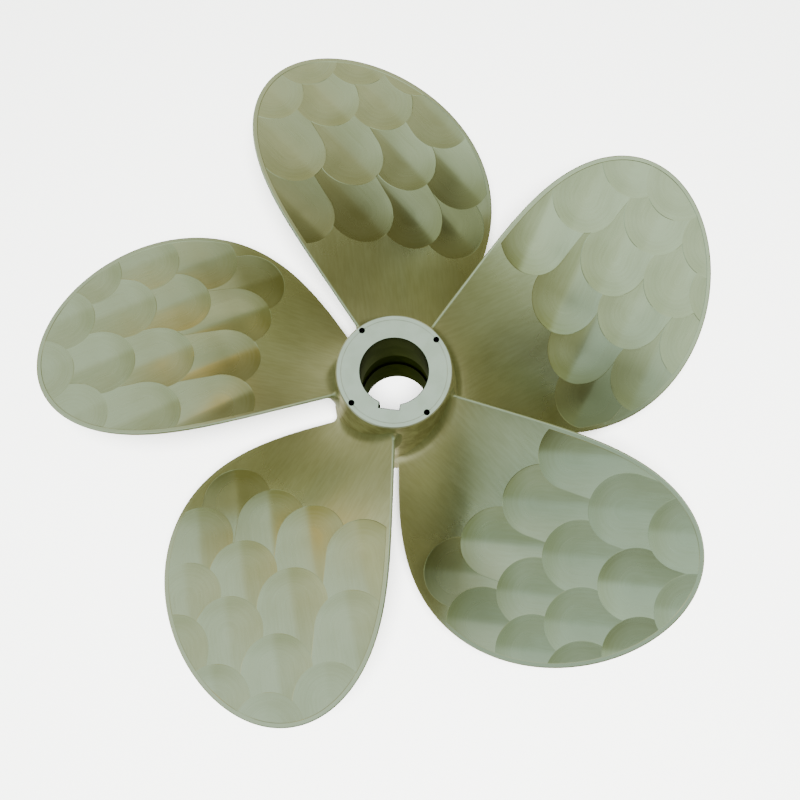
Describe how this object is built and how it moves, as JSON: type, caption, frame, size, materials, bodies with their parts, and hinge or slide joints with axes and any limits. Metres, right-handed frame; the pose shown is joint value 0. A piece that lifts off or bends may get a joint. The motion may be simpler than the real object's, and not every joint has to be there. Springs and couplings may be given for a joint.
{
  "type": "ship propeller",
  "caption": "Right-handed fixed-pitch ship propeller, blades cast in one piece with a keyed, taper-bored hub.",
  "frame": {"origin": "on the shaft axis, in the plane of the hub's forward face, which rests on the floor", "axes": "+Z along the shaft from the forward face to the aft face, and the keyway looks along -Y"},
  "size_m": [0.9376, 0.965, 0.2366],
  "materials": {
    "bronze": "nickel-aluminium bronze: disc-ground and satin-polished blades, turned hub face, hand-ground roots"
  },
  "bodies": {
    "root": {"propeller_casting": "bronze"}
  },
  "joints": []
}
